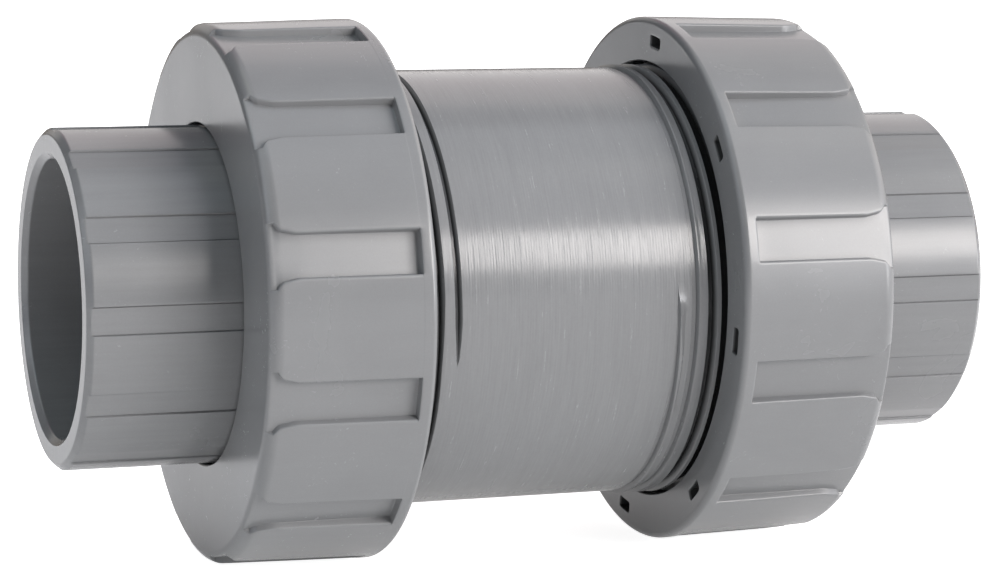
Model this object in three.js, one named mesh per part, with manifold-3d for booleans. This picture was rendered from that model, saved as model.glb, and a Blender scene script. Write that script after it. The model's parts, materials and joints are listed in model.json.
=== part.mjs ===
// True-union ball check valve, nominal 2 inch, grey rigid plastic.
//
// Frame: millimetres, +Z up. The valve axis is X, the inlet is at -X, the outlet at +X, and the
// origin is the middle of the valve on its axis. "side" is -1 at the inlet and +1 at the outlet.
// The sizes of parts found at both ends are written for the outlet; X is multiplied by side.
// Profiles are lists of [x, radius].

import * as THREE from 'three';
import { mergeVertices } from 'three/addons/utils/BufferGeometryUtils.js';
import Module from 'manifold-3d';

const wasm = await Module();
wasm.setup();

// ---------------------------------------------------------------- driving dimensions (mm, degrees)
const SEG = 36;                   // facets round the axis

// Union thread, right-handed at both ends. A start is where the body's groove begins, with phi
// measured about the axis from +Y towards +Z.
const PITCH = 25.4 / 6;           // 6 turns per inch
const TAN_FLANK = Math.tan(20 * Math.PI / 180);
const ROOT_WIDTH = 1.0;           // width of the body's groove at its root
const INLET_START = { x: -26.535, phi: 190, side: -1 };
const OUTLET_START = { x: 23.95, phi: 180, side: 1 };

const BODY_HALF = 57.0;           // half the length of the body
const BODY_R = 48.4;              // plain middle of the body
const CREST_R = 49.05;            // thread crest
const ROOT_R = 47.0;              // thread root
const SHALLOW_R = 48.0;           // root of the thread where it runs out
const END_CHAMFER = 1.4;
const CHAMBER_R = 36.5;           // bore round the ball
const COUNTERBORE_R = 38.2;
const CARRIER_SHOULDER = -34.0;
const CAGE_SHOULDER = 50.0;
const FACE_GROOVE = { inner: 40.5, outer: 44.5, depth: 3.1 };

const FLANGE_IN = 57.3;           // connector flange, face towards the body
const FLANGE_OUT = 63.5;
const FLANGE_R = 45.0;
const FLANGE_CHAMFER = 0.8;
const BARREL_R = 37.0;
const BARREL_CHAMFER = 0.3;
const END_FACE = 102.57;          // half of the overall length
const SOCKET_MOUTH_R = 30.3;
const SOCKET_BOTTOM_R = 30.15;
const SOCKET_DEPTH = 38.1;
const WATERWAY_R = 24.6;

const NUT_MOUTH = 34.5;           // nut, face towards the middle of the valve
const NUT_BACK = 70.36;           // nut, face towards the pipe
const NUT_R_MOUTH = 59.91;
const NUT_R_BACK = 59.15;
const NUT_MOUTH_ROUND = 2.6;
const NUT_BACK_ROUND = 5.7;
const NUT_LIP_IN = 63.8;          // inner face of the lip behind the flange
const NUT_HOLE_R = 37.5;
const NUT_HOLE_CHAMFER = 0.4;
const NUT_RELIEF_R = 50.6;
const NUT_ROOT_R = 49.6;
const NUT_TIP_R = 47.65;
const NUT_BLANK_R = NUT_TIP_R - 1.5;    // bore before the thread is cut
const FLANK_GAP = 0.3;            // clearance on each flank of the ridge
const NUT_THREAD = { from: 38.3, to: 56.4, fade: 0.12 };    // fade in turns, at each end

// Cuts spaced evenly about the axis. The phase is 0 at -Y and grows towards +Z.
const FLUTES = { count: 12, phase: -1.6, width: 6.0, depth: 0.5, offset: 7.0 };
const GRIPS = { count: 12, phase: 13.1, width: 9.4, floor: 57.65, wall: 37.7 };
const POCKETS = { count: 8, phase: -9, r: 54.9, radial: 3.0, tangential: 5.7, depth: 6.0 };

const FACE_RING = { x: 55.6, section: 1.6 };
const CARRIER_RING = { r: 36.5, section: 1.55 };
const RING_SIDES = 6;             // facets round a ring's section
const CARRIER_GROOVE = { from: -47.5, to: -43.3 };

const BALL_R = 27.5;
const BALL_CLOSED = -17.14;       // centre of the ball on its seat
const BALL_TRAVEL = 18.0;
const BALL_SEG = 28;

const CAGE_R = 36.2;              // outside of the ring and the ribs
const RIB_START = -12;
const RIB_END = 49.0;
const RIB_THICKNESS = 5.0;
const RIB_COUNT = 4;
const RIB_PHASE = 45;
const RIB_GUIDE_R = BALL_R + 0.4;
const RIB_STOP_R = 11;            // closest the ribs come to the axis
const RIB_ROOT_R = 31.9;          // inner edge of the ribs inside the cage's ring

// ---------------------------------------------------------------- helpers
const rad = (degrees) => degrees * Math.PI / 180;

/** y0 at x0 and y1 at x1, straight between them and level outside. */
const ramp = (x, x0, x1, y0, y1) => y0 + (y1 - y0) * Math.min(1, Math.max(0, (x - x0) / (x1 - x0)));

/** Evenly spaced [x, radius] points on an arc, angles from +X towards larger radius. */
function arc({ x, r, radius, from, to, steps }) {
  return Array.from({ length: steps + 1 }, (_, i) => {
    const angle = rad(from + (to - from) * i / steps);
    return [x + radius * Math.cos(angle), r + radius * Math.sin(angle)];
  });
}

/** A closed geometry as a solid, faces turned outwards. */
function toSolid(geometry) {
  const bare = new THREE.BufferGeometry();
  bare.setAttribute('position', geometry.attributes.position);
  bare.setIndex(geometry.index);
  const merged = mergeVertices(bare, 1e-4);
  const position = merged.attributes.position;
  const index = merged.index.array;
  const triangles = [];
  const corners = [0, 1, 2].map(() => new THREE.Vector3());
  let volume = 0;
  for (let i = 0; i < index.length; i += 3) {
    const [i0, i1, i2] = [index[i], index[i + 1], index[i + 2]];
    if (i0 === i1 || i1 === i2 || i0 === i2) continue;
    triangles.push(i0, i1, i2);
    const [a, b, c] = corners.map((v, k) => v.fromBufferAttribute(position, index[i + k]));
    volume += a.dot(b.cross(c));
  }
  if (volume < 0) {
    for (let i = 0; i < triangles.length; i += 3) {
      [triangles[i], triangles[i + 1]] = [triangles[i + 1], triangles[i]];
    }
  }
  return new wasm.Manifold(new wasm.Mesh({
    numProp: 3,
    vertProperties: new Float32Array(position.array),
    triVerts: new Uint32Array(triangles),
  }));
}

/** A solid as a flat-shaded geometry. */
function toGeometry(solid) {
  const { triVerts, vertProperties, numProp } = solid.getMesh();
  const points = new Float32Array(triVerts.length * 3);
  triVerts.forEach((vertex, i) => {
    for (let k = 0; k < 3; k++) points[3 * i + k] = vertProperties[numProp * vertex + k];
  });
  const geometry = new THREE.BufferGeometry();
  geometry.setAttribute('position', new THREE.BufferAttribute(points, 3));
  geometry.computeVertexNormals();
  return geometry;
}

/** Revolve a profile about X. One that starts off the axis is a ring's, and closes on itself. */
function turned(profile, { side = 1, seg = SEG } = {}) {
  const points = profile.map(([x, r]) => new THREE.Vector2(r, side * x));
  if (profile[0][1] > 1e-6) points.push(points[0].clone());
  return toSolid(new THREE.LatheGeometry(points, seg).rotateZ(-Math.PI / 2));
}

/** Cut a ring of boxes, each from x0 to x1 along the axis and from r0 to r1 radially. */
function cutBoxes(solid, side, { count, phase, x0, x1, r0, r1, width }) {
  for (let k = 0; k < count; k++) {
    const box = new THREE.BoxGeometry(x1 - x0, r1 - r0, width);
    box.translate(side * (x0 + x1) / 2, -(r0 + r1) / 2, 0);
    box.rotateX(-rad(phase + 360 * k / count));
    solid = solid.subtract(toSolid(box));
  }
  return solid;
}

/**
 * A solid bar about X with a helical groove, between the planes x = from and x = to.
 * groove(turn) gives [root radius, half width at the root] at that many turns from the start, and
 * the flanks open at TAN_FLANK. The groove fades to a point at its start, and at its end if fades
 * is set; otherwise the bar must be trimmed before its last turn. The bar's radius is startR up to
 * the first turn of the groove and barR beyond it.
 */
function threadedBar({ start, turns, from, to, groove, startR, barR, fades }) {
  const { side } = start;
  const steps = Math.round(turns * SEG);
  const points = [];
  const index = [];
  const angle = (i) => rad(start.phi) + side * 2 * Math.PI * (i % SEG) / SEG;
  const put = (x, r, phi) => {
    points.push(x, r * Math.cos(phi), r * Math.sin(phi));
    return points.length / 3 - 1;
  };
  const tri = (a, b, c) => index.push(a, b, c);
  const quad = (a, b, c, d) => {
    tri(a, b, c);
    tri(a, c, d);
  };

  // the groove's section at each step; "near" is towards the start, "far" towards the end
  const nearEdge = [], nearRoot = [], farRoot = [], farEdge = [];
  for (let i = 0; i <= steps; i++) {
    const turn = i / SEG;
    const x = start.x + side * PITCH * turn;
    const phi = angle(i);
    if (i === 0 || (fades && i === steps)) {
      const tip = put(x, i === 0 ? startR : barR, phi);
      nearEdge[i] = nearRoot[i] = farRoot[i] = farEdge[i] = tip;
      continue;
    }
    const [rootR, half] = groove(turn);
    const nearR = turn <= 1 ? startR : barR;
    nearEdge[i] = put(x - side * (half + (nearR - rootR) * TAN_FLANK), nearR, phi);
    nearRoot[i] = put(x - side * half, rootR, phi);
    farRoot[i] = put(x + side * half, rootR, phi);
    farEdge[i] = put(x + side * (half + (barR - rootR) * TAN_FLANK), barR, phi);
  }
  const startRing = [], endRing = [];
  for (let i = 0; i < SEG; i++) {
    startRing[i] = put(from, startR, angle(i));
    endRing[i] = put(to, barR, angle(steps + i));
  }
  startRing[SEG] = startRing[0];
  endRing[SEG] = endRing[0];

  // flanks and root, then the crest between neighbouring turns
  for (let i = 0; i < steps; i++) {
    quad(nearEdge[i], nearRoot[i], nearRoot[i + 1], nearEdge[i + 1]);
    quad(nearRoot[i], farRoot[i], farRoot[i + 1], nearRoot[i + 1]);
    quad(farRoot[i], farEdge[i], farEdge[i + 1], farRoot[i + 1]);
  }
  const last = steps - SEG;       // start of the last turn
  for (let i = 0; i < last; i++) {
    quad(farEdge[i], nearEdge[i + SEG], nearEdge[i + 1 + SEG], farEdge[i + 1]);
  }
  // plain length before the groove; its last facet meets the groove's first point part-way along
  for (let i = 0; i < SEG - 1; i++) {
    quad(startRing[i], nearEdge[i], nearEdge[i + 1], startRing[i + 1]);
  }
  tri(nearEdge[SEG - 1], startRing[0], startRing[SEG - 1]);
  tri(nearEdge[SEG - 1], nearEdge[0], startRing[0]);
  tri(nearEdge[SEG - 1], nearEdge[SEG], nearEdge[0]);
  // and after it
  for (let i = fades ? 1 : 0; i < SEG; i++) {
    quad(farEdge[last + i], endRing[i], endRing[i + 1], farEdge[last + i + 1]);
  }
  if (fades) {
    tri(farEdge[last + 1], endRing[0], endRing[1]);
    tri(farEdge[last + 1], farEdge[steps], endRing[0]);
    tri(farEdge[last + 1], farEdge[last], farEdge[steps]);
  } else {
    tri(farEdge[last], nearEdge[steps], nearRoot[steps]);
    tri(farEdge[last], nearRoot[steps], farRoot[steps]);
    tri(farEdge[last], farRoot[steps], endRing[0]);
    tri(farRoot[steps], farEdge[steps], endRing[0]);
  }
  const startCentre = put(from, 0, 0);
  const endCentre = put(to, 0, 0);
  for (let i = 0; i < SEG; i++) {
    tri(startCentre, startRing[i], startRing[i + 1]);
    tri(endCentre, endRing[i + 1], endRing[i]);
  }
  const geometry = new THREE.BufferGeometry();
  geometry.setAttribute('position', new THREE.BufferAttribute(new Float32Array(points), 3));
  geometry.setIndex(index);
  return toSolid(geometry);
}

// ---------------------------------------------------------------- materials
const GREY = 0x8d9297;
const INSERT_GREY = 0x83888d;
const BALL_GREY = 0x777c81;

const plastic = ({ color, roughness }) =>
  new THREE.MeshStandardMaterial({ color, roughness, metalness: 0 });
const rubber = () => plastic({ color: 0x1b1c1d, roughness: 0.75 });
const insertPlastic = () => plastic({ color: INSERT_GREY, roughness: 0.4 });

// ---------------------------------------------------------------- valve body
/** One half of the body's bar. The groove is shallow where it runs out and full under the nut. */
function bodyBar(start) {
  const runOut = 0.1;             // turns over which the groove opens from its first point
  return threadedBar({
    start,
    turns: (BODY_HALF + 1.6 - Math.abs(start.x)) / PITCH + 1,
    from: 0,
    to: start.side * (BODY_HALF + 12),
    startR: BODY_R,
    barR: CREST_R,
    fades: false,
    groove: (turn) => (turn < runOut
      ? [ramp(turn, 0, runOut, BODY_R, SHALLOW_R), ramp(turn, 0, runOut, 0.1, ROOT_WIDTH / 2)]
      : [ramp(turn, 1.5, 2.2, SHALLOW_R, ROOT_R), ROOT_WIDTH / 2]),
  });
}

function bodySolid() {
  const end = BODY_HALF;
  const past = 0.5;               // the chamfer cone runs this far past the crest
  const chamferEnd = end - END_CHAMFER - past;
  // faced and chamfered ends, and the stepped bore
  const limits = turned([
    [-end, CREST_R - END_CHAMFER], [-chamferEnd, CREST_R + past],
    [chamferEnd, CREST_R + past], [end, CREST_R - END_CHAMFER],
    [end, COUNTERBORE_R], [CAGE_SHOULDER, COUNTERBORE_R], [CAGE_SHOULDER, CHAMBER_R],
    [CARRIER_SHOULDER, CHAMBER_R], [CARRIER_SHOULDER, COUNTERBORE_R], [-end, COUNTERBORE_R],
  ]);
  let body = bodyBar(OUTLET_START).add(bodyBar(INLET_START)).intersect(limits);
  // grooves for the face seals
  const { inner, outer, depth } = FACE_GROOVE;
  for (const side of [1, -1]) {
    body = body.subtract(turned([
      [end - depth, inner], [end + 1, inner], [end + 1, outer], [end - depth, outer],
    ], { side }));
  }
  return body;
}

// ---------------------------------------------------------------- end connectors
function connectorSolid(side) {
  const socketBottom = END_FACE - SOCKET_DEPTH;
  const connector = turned([
    [FLANGE_IN, WATERWAY_R], [FLANGE_IN, FLANGE_R - FLANGE_CHAMFER],
    [FLANGE_IN + FLANGE_CHAMFER, FLANGE_R], [FLANGE_OUT, FLANGE_R], [FLANGE_OUT, BARREL_R],
    [END_FACE - BARREL_CHAMFER, BARREL_R], [END_FACE, BARREL_R - BARREL_CHAMFER],
    // flared mouth and tapered socket
    [END_FACE, SOCKET_MOUTH_R + 0.9], [END_FACE - 0.3, SOCKET_MOUTH_R + 0.3],
    [END_FACE - 1.0, SOCKET_MOUTH_R],
    [socketBottom, SOCKET_BOTTOM_R], [socketBottom, WATERWAY_R],
  ], { side });
  // shallow flutes along the barrel, open at the end face
  const { count, phase, width, depth, offset } = FLUTES;
  const floor = BARREL_R - depth;
  return cutBoxes(connector, side, {
    count, phase, width, x0: FLANGE_OUT + offset, x1: END_FACE + 2, r0: floor, r1: floor + 4,
  });
}

// ---------------------------------------------------------------- union nuts
/** What the nut's threaded bore removes. It leaves a ridge on the helix of the body's groove. */
function nutBore({ x, phi, side }) {
  const skipped = Math.round((NUT_THREAD.from - Math.abs(x)) / PITCH * SEG) / SEG;
  const start = { x: x + side * PITCH * skipped, phi: phi + side * 360 * skipped, side };
  const turns = Math.round((NUT_THREAD.to - Math.abs(start.x)) / PITCH * SEG) / SEG;
  return threadedBar({
    start,
    turns,
    from: side * (NUT_THREAD.from - 1.0),
    to: side * (NUT_LIP_IN - 4.0),
    startR: NUT_ROOT_R,
    barR: NUT_ROOT_R,
    fades: true,
    groove: (turn) => {
      const growth = Math.min(turn / NUT_THREAD.fade, (turns - turn) / NUT_THREAD.fade, 1);
      const tipR = NUT_ROOT_R + (NUT_TIP_R - NUT_ROOT_R) * growth;
      return [tipR, ROOT_WIDTH / 2 + (tipR - ROOT_R) * TAN_FLANK - FLANK_GAP];
    },
  });
}

function nutSolid(start) {
  const { side } = start;
  const blankFrom = NUT_THREAD.from - 0.6;
  const blankTo = NUT_LIP_IN - 4.5;
  const mouthRound = {
    x: NUT_MOUTH + NUT_MOUTH_ROUND, r: NUT_R_MOUTH - NUT_MOUTH_ROUND, radius: NUT_MOUTH_ROUND,
    from: 180, to: 90, steps: 3,
  };
  const backRound = {
    x: NUT_BACK - NUT_BACK_ROUND, r: NUT_R_BACK - NUT_BACK_ROUND, radius: NUT_BACK_ROUND,
    from: 90, to: 0, steps: 4,
  };
  const blank = turned([
    [NUT_MOUTH, NUT_RELIEF_R], ...arc(mouthRound), ...arc(backRound),
    [NUT_BACK, NUT_HOLE_R + NUT_HOLE_CHAMFER], [NUT_BACK - NUT_HOLE_CHAMFER, NUT_HOLE_R],
    [NUT_LIP_IN, NUT_HOLE_R], [NUT_LIP_IN, NUT_ROOT_R], [blankTo, NUT_ROOT_R],
    [blankTo, NUT_BLANK_R], [blankFrom, NUT_BLANK_R], [blankFrom, NUT_ROOT_R],
    [NUT_THREAD.from - 1.6, NUT_RELIEF_R],
  ], { side });
  // grip grooves, closed towards the middle of the valve and open over the outer edge
  const gripped = cutBoxes(blank.subtract(nutBore(start)), side, {
    count: GRIPS.count, phase: GRIPS.phase, width: GRIPS.width,
    x0: GRIPS.wall, x1: NUT_BACK + 2, r0: GRIPS.floor, r1: GRIPS.floor + 5,
  });
  // blind pockets in the mouth face
  return cutBoxes(gripped, side, {
    count: POCKETS.count, phase: POCKETS.phase, width: POCKETS.tangential,
    x0: NUT_MOUTH - 1, x1: NUT_MOUTH + POCKETS.depth,
    r0: POCKETS.r - POCKETS.radial / 2, r1: POCKETS.r + POCKETS.radial / 2,
  });
}

// ---------------------------------------------------------------- seals, seat and ball
function ringSolid({ x, r, section }) {
  const first = 180 / RING_SIDES;
  return turned(arc({
    x, r, radius: section, from: first, to: 360 - first, steps: RING_SIDES - 1,
  }));
}

const CARRIER_PROFILE = [
  [-56.9, 25.6], [-56.9, 37.4], [-56.3, 38.0],
  [CARRIER_GROOVE.from, 38.0], [CARRIER_GROOVE.from, 34.85],
  [CARRIER_GROOVE.to, 34.85], [CARRIER_GROOVE.to, 38.0],
  [-34.1, 38.0], [-34.1, 34.0], [-27.2, 33.3], [-27.2, 29.2], [-28.3, 29.2], [-28.3, 30.1],
  [-31.6, 30.1], [-31.6, 23.9], [-36.5, 23.9], [-56.0, 24.6],
];

const SEAT_PROFILE = [
  [-31.5, 23.72], [-31.5, 30.0], [-28.4, 30.0], [-28.4, 29.1], [-27.5, 29.1], [-27.5, 25.95],
  [-28.1, 25.38], [-29.1, 24.92],
];

function ballSolid() {
  const profile = arc({ x: 0, r: 0, radius: BALL_R, from: 180, to: 0, steps: BALL_SEG / 2 });
  return turned(profile, { seg: BALL_SEG });
}

// ---------------------------------------------------------------- ball guide cage
const CAGE_RING_PROFILE = [
  [40.0, 31.4], [40.0, 35.4], [40.8, CAGE_R], [50.1, CAGE_R], [50.1, 38.0], [56.3, 38.0],
  [56.9, 37.4], [56.9, 32.2], [56.1, 31.4],
];

/** Outline of a rib: a straight guide, then an arc round the ball at the end of its travel. */
function ribShape() {
  const outline = [
    [RIB_START, CAGE_R], [RIB_START, 30.0], [-8, RIB_GUIDE_R],
    ...arc({
      x: BALL_CLOSED + BALL_TRAVEL, r: 0, radius: RIB_GUIDE_R,
      from: 90, to: Math.asin(RIB_STOP_R / RIB_GUIDE_R) * 180 / Math.PI, steps: 9,
    }),
    [33.0, RIB_STOP_R], [36.0, 14.5], [41.5, RIB_ROOT_R], [RIB_END, RIB_ROOT_R],
    [RIB_END, CAGE_R],
  ];
  return new THREE.Shape(outline.map(([x, r]) => new THREE.Vector2(x, r)));
}

function cageSolid() {
  let cage = turned(CAGE_RING_PROFILE);
  // plain round bar that trims the ribs to the cage's outside
  const envelope = turned([[-14, 0], [-14, CAGE_R], [50.05, CAGE_R], [50.05, 0]]);
  const shape = ribShape();
  for (let k = 0; k < RIB_COUNT; k++) {
    const rib = new THREE.ExtrudeGeometry(shape, { depth: RIB_THICKNESS, bevelEnabled: false });
    rib.translate(0, 0, -RIB_THICKNESS / 2);
    rib.rotateX(rad(RIB_PHASE + 360 * k / RIB_COUNT));
    cage = cage.add(toSolid(rib).intersect(envelope));
  }
  return cage;
}

// ---------------------------------------------------------------- assembly
function add(parent, name, solid, material) {
  const mesh = new THREE.Mesh(toGeometry(solid), material);
  mesh.name = name;
  parent.add(mesh);
}

const valve = new THREE.Group();
valve.name = 'check_valve';
add(valve, 'valve_body', bodySolid(), plastic({ color: GREY, roughness: 0.38 }));

const ENDS = [['inlet', INLET_START], ['outlet', OUTLET_START]];
for (const [end, start] of ENDS) {
  const union = new THREE.Group();
  valve.add(union);
  add(union, `${end}_end_connector`, connectorSolid(start.side),
    plastic({ color: GREY, roughness: 0.34 }));
  add(union, `${end}_union_nut`, nutSolid(start), plastic({ color: GREY, roughness: 0.3 }));
}

for (const [end, { side }] of ENDS) {
  const ring = ringSolid({
    x: side * FACE_RING.x,
    r: (FACE_GROOVE.inner + FACE_GROOVE.outer) / 2,
    section: FACE_RING.section,
  });
  add(valve, `${end}_face_o_ring`, ring, rubber());
}
const carrierRing = ringSolid({ x: (CARRIER_GROOVE.from + CARRIER_GROOVE.to) / 2, ...CARRIER_RING });
add(valve, 'seat_carrier_o_ring', carrierRing, rubber());
add(valve, 'seat_carrier', turned(CARRIER_PROFILE), insertPlastic());
add(valve, 'ball_seat', turned(SEAT_PROFILE), rubber());

const ballGroup = new THREE.Group();
ballGroup.position.set(BALL_CLOSED, 0, 0);
valve.add(ballGroup);
add(ballGroup, 'ball', ballSolid(), plastic({ color: BALL_GREY, roughness: 0.35 }));

add(valve, 'ball_guide_cage', cageSolid(), insertPlastic());

export default valve;
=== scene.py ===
# Grey union ball check valve, lying along X with the inlet at -X and the outlet at +X. It is a threaded
# body with a ball, seat and guide cage inside, and an end connector and a union nut at each end.
# Every piece rides on its CAD body and stands for its CAD node.
# Lengths are millimetres: along the axis, and radius outwards from it. Angles are degrees round the axis,
# where 0 is -Y and the angle grows towards +Z. Meshes are written in metres, in the frame's own axes.
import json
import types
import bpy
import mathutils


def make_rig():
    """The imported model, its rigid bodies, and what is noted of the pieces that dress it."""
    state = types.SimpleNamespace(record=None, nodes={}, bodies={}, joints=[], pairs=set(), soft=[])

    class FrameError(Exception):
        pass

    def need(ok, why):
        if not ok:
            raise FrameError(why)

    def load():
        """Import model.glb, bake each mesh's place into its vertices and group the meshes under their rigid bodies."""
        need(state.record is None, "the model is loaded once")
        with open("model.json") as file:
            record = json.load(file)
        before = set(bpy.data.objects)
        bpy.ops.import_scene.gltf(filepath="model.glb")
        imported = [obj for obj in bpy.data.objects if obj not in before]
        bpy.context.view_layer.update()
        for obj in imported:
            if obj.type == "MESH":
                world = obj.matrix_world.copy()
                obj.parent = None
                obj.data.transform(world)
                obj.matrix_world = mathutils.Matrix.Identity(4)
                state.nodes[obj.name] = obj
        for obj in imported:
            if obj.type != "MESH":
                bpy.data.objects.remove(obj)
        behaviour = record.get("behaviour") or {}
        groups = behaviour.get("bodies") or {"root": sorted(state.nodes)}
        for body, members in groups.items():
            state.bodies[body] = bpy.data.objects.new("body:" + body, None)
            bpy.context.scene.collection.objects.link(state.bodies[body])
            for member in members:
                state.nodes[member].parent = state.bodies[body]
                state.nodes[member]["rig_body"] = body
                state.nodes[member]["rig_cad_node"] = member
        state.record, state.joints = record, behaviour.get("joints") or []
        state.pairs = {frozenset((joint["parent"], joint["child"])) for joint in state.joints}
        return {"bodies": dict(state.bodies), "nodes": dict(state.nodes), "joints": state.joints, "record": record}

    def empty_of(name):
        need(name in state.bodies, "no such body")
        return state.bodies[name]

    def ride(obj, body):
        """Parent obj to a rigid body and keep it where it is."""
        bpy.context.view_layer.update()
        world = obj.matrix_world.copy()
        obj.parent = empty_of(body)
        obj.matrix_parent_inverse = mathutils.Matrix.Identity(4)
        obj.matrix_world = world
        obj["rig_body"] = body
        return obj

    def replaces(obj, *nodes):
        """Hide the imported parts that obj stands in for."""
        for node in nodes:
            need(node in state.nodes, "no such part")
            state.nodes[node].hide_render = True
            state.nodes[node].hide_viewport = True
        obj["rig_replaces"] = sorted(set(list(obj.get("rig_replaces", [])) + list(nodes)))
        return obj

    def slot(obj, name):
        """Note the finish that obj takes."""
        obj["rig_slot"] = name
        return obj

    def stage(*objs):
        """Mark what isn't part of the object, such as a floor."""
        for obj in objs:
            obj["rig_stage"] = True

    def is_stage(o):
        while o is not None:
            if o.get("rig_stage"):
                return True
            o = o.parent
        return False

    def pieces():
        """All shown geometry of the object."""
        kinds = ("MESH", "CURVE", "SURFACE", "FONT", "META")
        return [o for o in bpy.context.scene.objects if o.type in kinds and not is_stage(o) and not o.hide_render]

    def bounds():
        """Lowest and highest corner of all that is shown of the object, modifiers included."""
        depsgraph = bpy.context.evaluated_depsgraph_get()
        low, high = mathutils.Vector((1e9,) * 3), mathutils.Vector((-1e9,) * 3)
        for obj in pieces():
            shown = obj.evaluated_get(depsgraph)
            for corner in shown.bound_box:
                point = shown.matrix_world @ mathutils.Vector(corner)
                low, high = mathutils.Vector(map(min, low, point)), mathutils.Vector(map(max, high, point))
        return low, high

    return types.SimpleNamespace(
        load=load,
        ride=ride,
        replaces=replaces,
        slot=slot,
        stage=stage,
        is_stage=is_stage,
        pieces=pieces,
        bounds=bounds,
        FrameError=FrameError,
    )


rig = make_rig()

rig.load()

import json
import math
from types import SimpleNamespace as Group

import bmesh
import bpy
import numpy as np
from mathutils import Matrix

CAD_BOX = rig.bounds()
MM = 0.001

# ------------------------------------------------------------------ dimensions shared between pieces
PITCH = 25.4 / 6
TAN_FLANK = math.tan(math.radians(20))
ROOT_HALF = 0.5                      # half the width of the groove bottom
BODY_HALF, BODY_R, CREST_R, ROOT_R = 57.0, 48.4, 49.05, 47.0

# The two body threads. Turns are counted from where each thread starts.
#   side        which way from the middle of the valve the thread lies
#   u0, th0     distance from the middle, and angle, where it starts
#   turn        the way round in which it advances
#   drift       how far the first turns run ahead of the full thread, at three stages
#   shallow, half   root radius and half width of the first turns' groove
#   taper, power    run-in of the groove in turns, and its curve
#   wide        how much the third turn is opened towards the middle
#   lip         how much lower the land is away from the first groove
#   full        how much wider the first turn is cut
#   rise, bump  shape of the land where the thread begins
#   live        turns over which the mesh lines part
#   shoulder, chamber   where the counterbore ends and the ball chamber begins, from the middle
OUTLET = Group(side=1, u0=23.95 - PITCH * 4.4 / 360, th0=4.4, turn=-1, drift=(-0.75, -1.3, -1.6),
               shallow=48.0, half=0.45, taper=0.1, wide=0.7, lip=0.8, full=0.0, rise=0.0115,
               bump=0.28, power=1.0, live=0.05, shoulder=50.0, chamber=20.0)
INLET = Group(side=-1, u0=26.535 - PITCH * 5.0 / 360, th0=-15.0, turn=1, drift=(0.0, 0.0, 0.0),
              shallow=47.0, half=0.28, taper=0.032, wide=0.0, lip=0.0, full=0.15, rise=0.05,
              bump=0.0, power=0.6, live=0.012, shoulder=34.0, chamber=30.0)

# annular groove in each end face of the body, which holds the face seal
FACE_GROOVE = Group(inner=40.5, outer=44.5, depth=3.1)
BALL_R, BALL_CLOSED, BALL_TRAVEL = 27.5, -17.14, 18.0


# ------------------------------------------------------------------ mesh building
WELD = 2e-6                          # metres


def place(along, radius, angle):
    turn = np.radians(angle)
    along, radius, turn = np.broadcast_arrays(along, radius, turn)
    return np.stack([along, -radius * np.cos(turn), radius * np.sin(turn)], -1)


def add_object(name, mesh):
    ob = bpy.data.objects.new(name, mesh)
    bpy.context.scene.collection.objects.link(ob)
    return ob


def shade_smooth(mesh, sharp):
    """Smooth shading, broken at edges of more than sharp degrees."""
    for polygon in mesh.polygons:
        polygon.use_smooth = True
    mesh.set_sharp_from_angle(angle=math.radians(sharp))


class Shell:
    """Patches of quads that are welded where their edges meet."""

    def __init__(self):
        self.points, self.faces, self.count = [], [], 0

    def add(self, points, faces):
        points = points.reshape(-1, 3)
        self.points.append(points)
        self.faces.extend((np.asarray(faces) + self.count).tolist())
        self.count += len(points)

    def grid(self, along, radius, angle, wrap_rows=False, shift=0):
        """Rows by columns, closed round the axis. shift joins the last column to the first one that
        many rows further on."""
        points = place(along, radius, angle)
        rows, cols = points.shape[:2]
        row = np.arange(rows if wrap_rows else rows - 1)
        below = (row + 1) % rows
        faces = []
        for col in range(cols):
            last = col == cols - 1
            right = 0 if last else col + 1
            skip = shift if last else 0
            faces.append(np.stack([
                row * cols + col,
                below * cols + col,
                np.minimum(below + skip, rows - 1) * cols + right,
                np.minimum(row + skip, rows - 1) * cols + right], -1))
        self.add(points, np.concatenate(faces))

    def build(self, name, sharp):
        mesh = bpy.data.meshes.new(name)
        mesh.from_pydata((np.concatenate(self.points) * MM).tolist(), [], self.faces)
        bm = bmesh.new()
        bm.from_mesh(mesh)
        bmesh.ops.remove_doubles(bm, verts=bm.verts, dist=WELD)
        bmesh.ops.dissolve_degenerate(bm, edges=bm.edges, dist=1e-7)
        loose = [vert for vert in bm.verts if not vert.link_faces]
        bmesh.ops.delete(bm, geom=loose, context="VERTS")
        bmesh.ops.recalc_face_normals(bm, faces=bm.faces)
        if bm.calc_volume(signed=True) < 0:
            bmesh.ops.reverse_faces(bm, faces=bm.faces)
        bm.to_mesh(mesh)
        bm.free()
        shade_smooth(mesh, sharp)
        return add_object(name, mesh)


def rounded(point, before, after, rounding, arc):
    """The points of the arc that rounds a corner, or the corner alone where the line is nearly straight."""
    back, ahead = before - point, after - point
    back_length, ahead_length = np.linalg.norm(back), np.linalg.norm(ahead)
    back, ahead = back / back_length, ahead / ahead_length
    corner = math.acos(max(-1, min(1, float(back @ ahead))))
    if corner > math.radians(178):
        return point[None]
    trim = min(rounding / math.tan(corner / 2), 0.46 * back_length, 0.46 * ahead_length)
    radius = trim * math.tan(corner / 2)
    bisector = (back + ahead) / np.linalg.norm(back + ahead)
    centre = point + bisector * radius / math.sin(corner / 2)
    first, last = point + back * trim - centre, point + ahead * trim - centre
    count = max(2, math.ceil(math.degrees(math.pi - corner) / arc))
    start = math.atan2(first[1], first[0])
    sweep = (math.atan2(last[1], last[0]) - start + math.pi) % (2 * math.pi) - math.pi
    turn = start + sweep * np.arange(count + 1) / count
    return centre + radius * np.stack([np.cos(turn), np.sin(turn)], -1)


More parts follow.
